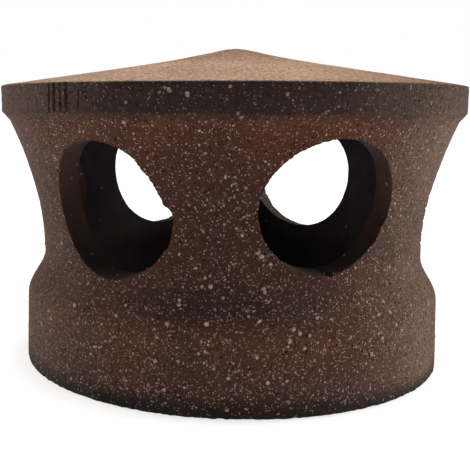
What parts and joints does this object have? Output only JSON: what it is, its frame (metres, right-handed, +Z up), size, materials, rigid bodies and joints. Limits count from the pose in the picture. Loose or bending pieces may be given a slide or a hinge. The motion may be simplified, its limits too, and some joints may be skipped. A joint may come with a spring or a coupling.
{
  "type": "roof vent lantern",
  "caption": "Round unglazed stoneware vent lantern with a flared neck pierced by vent holes, a rim and a low conical roof, open below to sit over a vent tile's spigot.",
  "frame": {"origin": "On the ground under the middle of the rim, which is the bottom centre of the part's box.", "axes": "+Z is up, -Y is the side that the picture looks at, +X is that view's right."},
  "size_m": [0.1958, 0.1958, 0.1329],
  "materials": {
    "speckled_stoneware": "matte, unglazed, dark brown with cream grog speckles"
  },
  "bodies": {
    "root": {"vent_lantern": "speckled_stoneware"}
  },
  "joints": []
}
